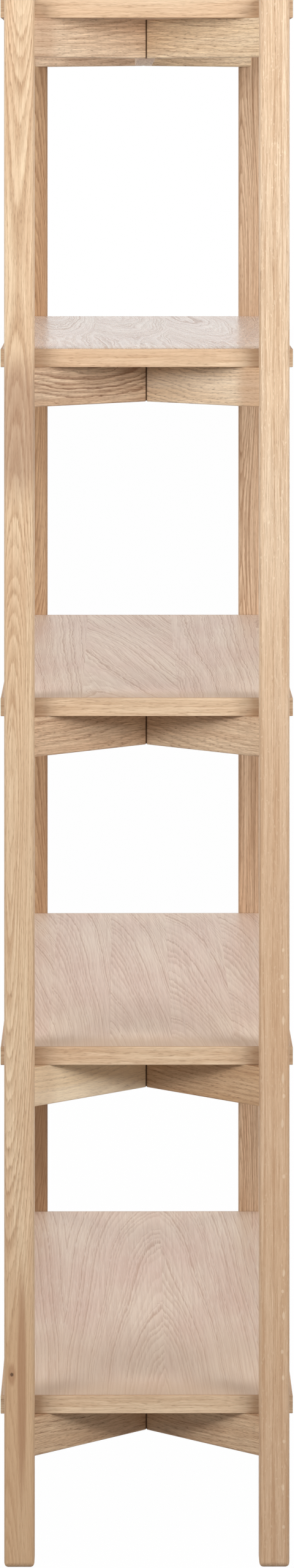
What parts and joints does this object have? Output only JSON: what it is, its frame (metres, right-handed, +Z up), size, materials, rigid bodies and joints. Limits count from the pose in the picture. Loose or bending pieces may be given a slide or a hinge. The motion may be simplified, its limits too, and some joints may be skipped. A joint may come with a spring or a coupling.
{
  "type": "bookcase",
  "caption": "Tall open bookcase in pale oak, with square posts and veneered boards carried on Y-shaped stretchers and a centre beam.",
  "frame": {"origin": "on the floor, under the middle of the bookcase", "axes": "+X along the boards from the left end to the right end, +Y from the front to the back, +Z up"},
  "size_m": [1.2, 0.35, 1.87],
  "materials": {
    "oak_solid": "pale oak, white-pigmented matt lacquer",
    "oak_veneer": "oak veneer, white-pigmented satin lacquer",
    "oak_edging": "solid oak strip, white-pigmented satin lacquer",
    "beech_tenon": "raw beech",
    "birch_plywood": "raw birch plywood"
  },
  "bodies": {
    "root": {"arm_tenons": "beech_tenon", "beam_tenons": "beech_tenon", "board_tenons": "beech_tenon", "mitre_tongues": "birch_plywood", "post_left_back": "oak_solid", "post_left_front": "oak_solid", "post_right_back": "oak_solid", "post_right_front": "oak_solid", "shelf_1_arm_left_back": "oak_solid", "shelf_1_arm_left_front": "oak_solid", "shelf_1_arm_right_back": "oak_solid", "shelf_1_arm_right_front": "oak_solid", "shelf_1_beam": "oak_solid", "shelf_1_edging_back": "oak_edging", "shelf_1_edging_front": "oak_edging", "shelf_1_edging_left": "oak_edging", "shelf_1_edging_right": "oak_edging", "shelf_1_panel": "oak_veneer", "shelf_2_arm_left_back": "oak_solid", "shelf_2_arm_left_front": "oak_solid", "shelf_2_arm_right_back": "oak_solid", "shelf_2_arm_right_front": "oak_solid", "shelf_2_beam": "oak_solid", "shelf_2_edging_back": "oak_edging", "shelf_2_edging_front": "oak_edging", "shelf_2_edging_left": "oak_edging", "shelf_2_edging_right": "oak_edging", "shelf_2_panel": "oak_veneer", "shelf_3_arm_left_back": "oak_solid", "shelf_3_arm_left_front": "oak_solid", "shelf_3_arm_right_back": "oak_solid", "shelf_3_arm_right_front": "oak_solid", "shelf_3_beam": "oak_solid", "shelf_3_edging_back": "oak_edging", "shelf_3_edging_front": "oak_edging", "shelf_3_edging_left": "oak_edging", "shelf_3_edging_right": "oak_edging", "shelf_3_panel": "oak_veneer", "shelf_4_arm_left_back": "oak_solid", "shelf_4_arm_left_front": "oak_solid", "shelf_4_arm_right_back": "oak_solid", "shelf_4_arm_right_front": "oak_solid", "shelf_4_beam": "oak_solid", "shelf_4_edging_back": "oak_edging", "shelf_4_edging_front": "oak_edging", "shelf_4_edging_left": "oak_edging", "shelf_4_edging_right": "oak_edging", "shelf_4_panel": "oak_veneer", "top_arm_left_back": "oak_solid", "top_arm_left_front": "oak_solid", "top_arm_right_back": "oak_solid", "top_arm_right_front": "oak_solid", "top_beam": "oak_solid", "top_edging_back": "oak_edging", "top_edging_front": "oak_edging", "top_edging_left": "oak_edging", "top_edging_right": "oak_edging", "top_panel": "oak_veneer"}
  },
  "joints": []
}
